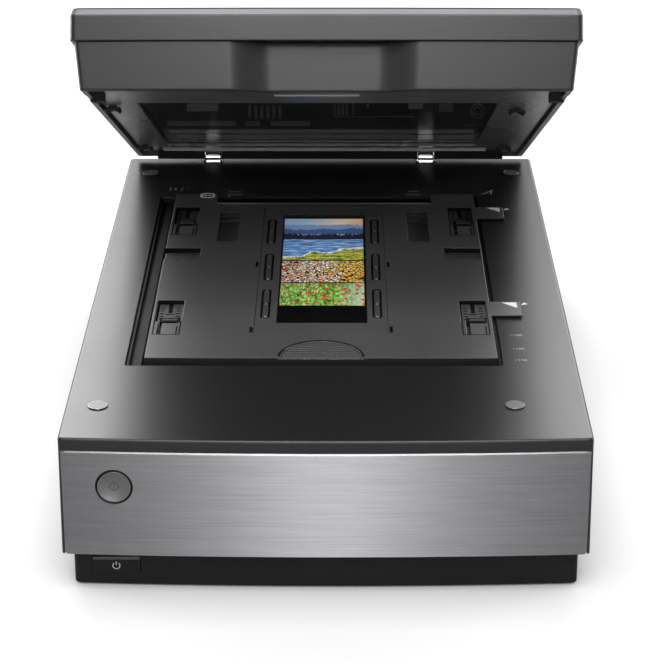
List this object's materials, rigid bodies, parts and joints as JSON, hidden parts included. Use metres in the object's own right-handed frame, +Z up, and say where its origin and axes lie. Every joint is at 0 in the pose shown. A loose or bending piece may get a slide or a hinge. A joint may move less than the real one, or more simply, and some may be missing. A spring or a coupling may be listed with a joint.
{
  "type": "flatbed scanner",
  "caption": "Flatbed scanner for paper and film: hinged lid with its own light, film holder on the glass, carriage under it.",
  "frame": {"origin": "floor level, under the middle of the machine's bounding box with its lid part open", "axes": "+X to the right seen from the front, +Y to the rear where the lid is hinged, +Z up"},
  "size_m": [0.3092, 0.519, 0.3127],
  "materials": {
    "black_plastic": "fine-grained black",
    "board_green": "lacquered board",
    "brushed_metal": "brushed along its length",
    "chrome": "polished",
    "clear_glass": "clear float glass",
    "dark_cover": "satin metallic dark grey",
    "film": "developed film",
    "holder_plastic": "fine-grained dark grey",
    "lamp_white": "white diffuser",
    "lid_paint": "satin dark grey",
    "rubber": "soft black",
    "satin_black": "satin black",
    "silver_button": "silver coat",
    "smoked_glass": "dark window",
    "steel": "bright steel"
  },
  "bodies": {
    "base": {"base_tray": "black_plastic", "cap_front_left": "silver_button", "cap_front_right": "silver_button", "cap_rear_left": "silver_button", "cap_rear_right": "silver_button", "drive_belt": "rubber", "foot_front_left": "rubber", "foot_front_right": "rubber", "foot_rear_left": "rubber", "foot_rear_right": "rubber", "front_fascia": "brushed_metal", "glass_frame": "satin_black", "guide_rod": "steel", "hinge_socket_left": "black_plastic", "hinge_socket_right": "black_plastic", "main_board": "board_green", "option_port": "satin_black", "platen_glass": "clear_glass", "power_inlet": "black_plastic", "scan_motor": "steel", "start_ring": "satin_black", "top_cover": "dark_cover", "usb_port": "steel"},
    "hinge_posts": {"hinge_post_left": "chrome", "hinge_post_right": "chrome"},
    "lid": {"hinge_bracket_left": "chrome", "hinge_bracket_right": "chrome", "hinge_pin_left": "chrome", "hinge_pin_right": "chrome", "lid_belt": "rubber", "lid_inner_plate": "lid_paint", "lid_motor": "steel", "lid_rail": "steel", "lid_skirt": "lid_paint", "lid_stop_left": "rubber", "lid_stop_right": "rubber", "lid_top_shell": "lid_paint", "lid_window": "smoked_glass", "mat_hook_front_left": "satin_black", "mat_hook_front_right": "satin_black", "mat_hook_rear_left": "satin_black", "mat_hook_rear_right": "satin_black"},
    "lid_carriage": {"lid_carriage": "satin_black", "lid_lamp": "lamp_white"},
    "lid_drive_pulley": {"lid_drive_pulley": "black_plastic"},
    "lid_idler_pulley": {"lid_idler_pulley": "black_plastic"},
    "scan_carriage": {"scan_carriage": "satin_black", "scan_lamp": "lamp_white"},
    "drive_pulley": {"drive_pulley": "black_plastic"},
    "idler_pulley": {"idler_pulley": "black_plastic"},
    "start_button": {"start_button": "silver_button"},
    "power_button": {"power_button": "black_plastic"},
    "film_holder": {"film_holder": "holder_plastic", "film_strip": "film"},
    "film_cover": {"film_cover": "holder_plastic"},
    "height_slider_front_left": {"height_slider_front_left": "satin_black"},
    "height_slider_front_right": {"height_slider_front_right": "satin_black"},
    "height_slider_rear_left": {"height_slider_rear_left": "satin_black"},
    "height_slider_rear_right": {"height_slider_rear_right": "satin_black"}
  },
  "joints": [
    {"name": "lid_lift", "type": "slide", "parent": "base", "child": "hinge_posts", "axis": [0, 0, 1], "range_m": [0, 0.03]},
    {"name": "lid_hinge", "type": "hinge", "parent": "hinge_posts", "child": "lid", "pos_m": [0, 0.23446, 0.1015], "axis": [-1, 0, 0], "range_deg": [-24.46, 40.5]},
    {"name": "lid_scan", "type": "slide", "parent": "lid", "child": "lid_carriage", "axis": [0, -0.9102, 0.4141], "range_m": [0, 0.2]},
    {"name": "lid_drive_turn", "type": "hinge", "parent": "lid", "child": "lid_drive_pulley", "pos_m": [0.1272, 0.21143, 0.12829], "axis": [0, 0.4141, 0.9102], "range_deg": [0, 2292.8]},
    {"name": "lid_idler_turn", "type": "hinge", "parent": "lid", "child": "lid_idler_pulley", "pos_m": [0.1272, -0.08439, 0.26287], "axis": [0, 0.4141, 0.9102], "range_deg": [0, 2292.8]},
    {"name": "scan_slide", "type": "slide", "parent": "base", "child": "scan_carriage", "axis": [0, -1, 0], "range_m": [0, 0.3]},
    {"name": "drive_turn", "type": "hinge", "parent": "base", "child": "drive_pulley", "pos_m": [0.06, -0.22354, 0.032], "axis": [0, 0, 1], "range_deg": [0, 2149.6]},
    {"name": "idler_turn", "type": "hinge", "parent": "base", "child": "idler_pulley", "pos_m": [0.06, 0.21446, 0.032], "axis": [0, 0, 1], "range_deg": [0, 2149.6]},
    {"name": "start_press", "type": "slide", "parent": "base", "child": "start_button", "axis": [0, 1, 0], "range_m": [0, 0.0012], "stiffness_N_per_m": 400, "springref_m": -0.001},
    {"name": "power_press", "type": "slide", "parent": "base", "child": "power_button", "axis": [0, 1, 0], "range_m": [0, 0.001], "stiffness_N_per_m": 400, "springref_m": -0.001},
    {"name": "holder_lift", "type": "slide", "parent": "base", "child": "film_holder", "axis": [0, 0, 1], "range_m": [0, 0.03]},
    {"name": "film_cover_hinge", "type": "hinge", "parent": "film_holder", "child": "film_cover", "pos_m": [0, 0.12396, 0.1022], "axis": [-1, 0, 0], "range_deg": [0, 28]},
    {"name": "height_slide_front_left", "type": "slide", "parent": "film_holder", "child": "height_slider_front_left", "axis": [0, 1, 0], "range_m": [0, 0.012]},
    {"name": "height_slide_front_right", "type": "slide", "parent": "film_holder", "child": "height_slider_front_right", "axis": [0, 1, 0], "range_m": [0, 0.012]},
    {"name": "height_slide_rear_left", "type": "slide", "parent": "film_holder", "child": "height_slider_rear_left", "axis": [0, 1, 0], "range_m": [0, 0.012]},
    {"name": "height_slide_rear_right", "type": "slide", "parent": "film_holder", "child": "height_slider_rear_right", "axis": [0, 1, 0], "range_m": [0, 0.012]}
  ],
  "couplings": [
    {"joint": "drive_turn", "follows": "scan_slide", "rad_per_m": 125},
    {"joint": "idler_turn", "follows": "scan_slide", "rad_per_m": 125},
    {"joint": "lid_drive_turn", "follows": "lid_scan", "rad_per_m": 200},
    {"joint": "lid_idler_turn", "follows": "lid_scan", "rad_per_m": 200}
  ]
}
